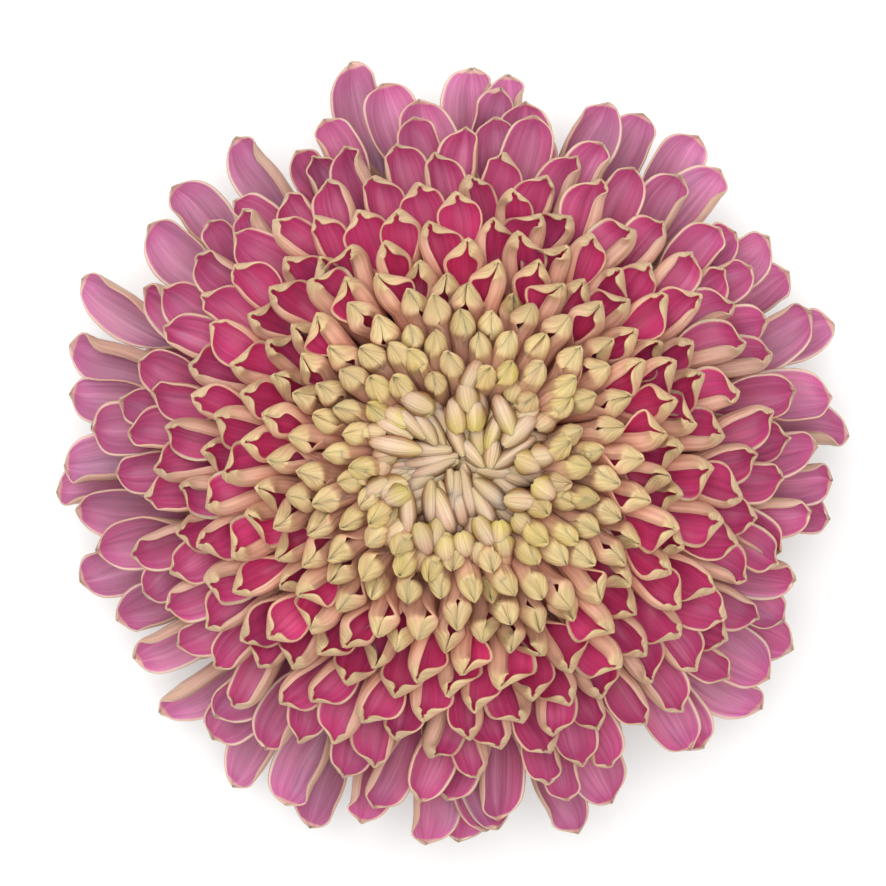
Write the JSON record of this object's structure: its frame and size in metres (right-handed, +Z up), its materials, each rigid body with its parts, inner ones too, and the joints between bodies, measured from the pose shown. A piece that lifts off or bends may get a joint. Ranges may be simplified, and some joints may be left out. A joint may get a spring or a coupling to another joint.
{
  "type": "pompon chrysanthemum bloom",
  "caption": "Fully double cut chrysanthemum flower head, face up on a short stem stub: a closed cream bud, rolled cream florets with magenta mouths, and open lilac spoon florets at the rim.",
  "frame": {"origin": "middle of the stem's cut end, on the surface that the bloom stands on", "axes": "+Z up the bloom from the stem to the crown; +X to the right and +Y to the top as the bloom is seen face on"},
  "size_m": [0.1186, 0.1161, 0.0576],
  "materials": {
    "stem": "fibrous green stem, matte",
    "bract": "green leafy bracts with papery edges, matte",
    "outer_floret": "lilac to magenta ray floret, soft satin",
    "middle_floret": "cream-backed ray floret, magenta within, soft satin",
    "centre_floret": "cream ray floret with yellow-green tips, soft satin"
  },
  "bodies": {
    "root": {"stem": "stem", "involucre": "bract", "outer_florets": "outer_floret", "middle_florets": "middle_floret", "centre_florets": "centre_floret"}
  },
  "joints": []
}
